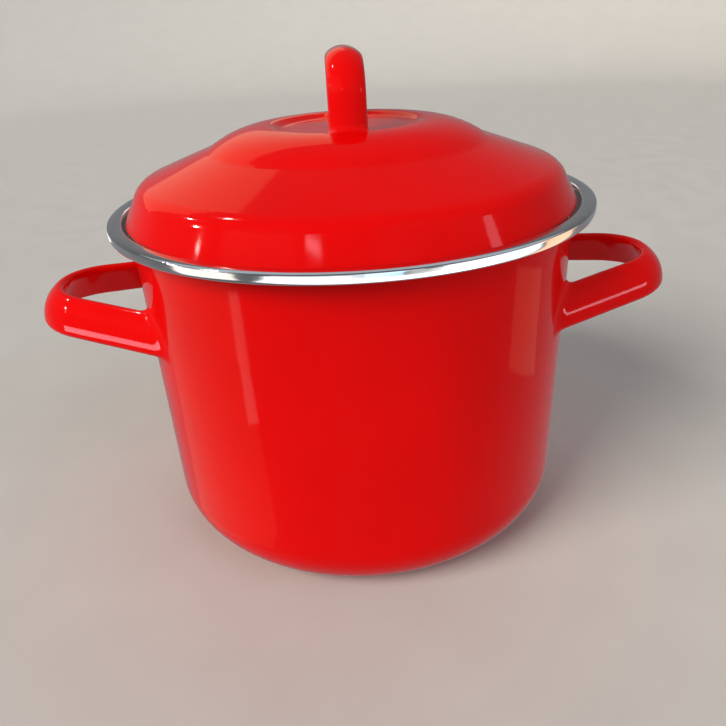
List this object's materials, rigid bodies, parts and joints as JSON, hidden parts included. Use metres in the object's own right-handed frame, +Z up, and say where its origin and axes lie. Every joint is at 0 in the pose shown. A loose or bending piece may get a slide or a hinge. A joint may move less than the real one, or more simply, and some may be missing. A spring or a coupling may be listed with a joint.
{
  "type": "soup pot",
  "caption": "Round enamelled steel soup pot with a steel rim band, two strap-loop side handles and a domed lift-off lid with a strap loop.",
  "frame": {"origin": "centre of the base, on the surface the pot stands on", "axes": "+Z up along the pot's axis, X along the two side handles, Y along the lid's strap loop"},
  "size_m": [0.291, 0.2114, 0.2114],
  "materials": {
    "red_enamel": "glossy fired enamel on steel",
    "weld_enamel": "glossy fired enamel over a weld fillet",
    "rim_steel": "polished stainless steel"
  },
  "bodies": {
    "pot": {"pot_shell": "red_enamel", "pot_rim_band": "rim_steel", "left_handle": "red_enamel", "right_handle": "red_enamel", "left_handle_welds": "weld_enamel", "right_handle_welds": "weld_enamel"},
    "lid": {"lid_shell": "red_enamel", "lid_handle": "red_enamel", "lid_handle_welds": "weld_enamel"}
  },
  "joints": [
    {"name": "lid_lift", "type": "slide", "parent": "pot", "child": "lid", "axis": [0, 0, 1], "range_m": [0, 0.12]}
  ]
}
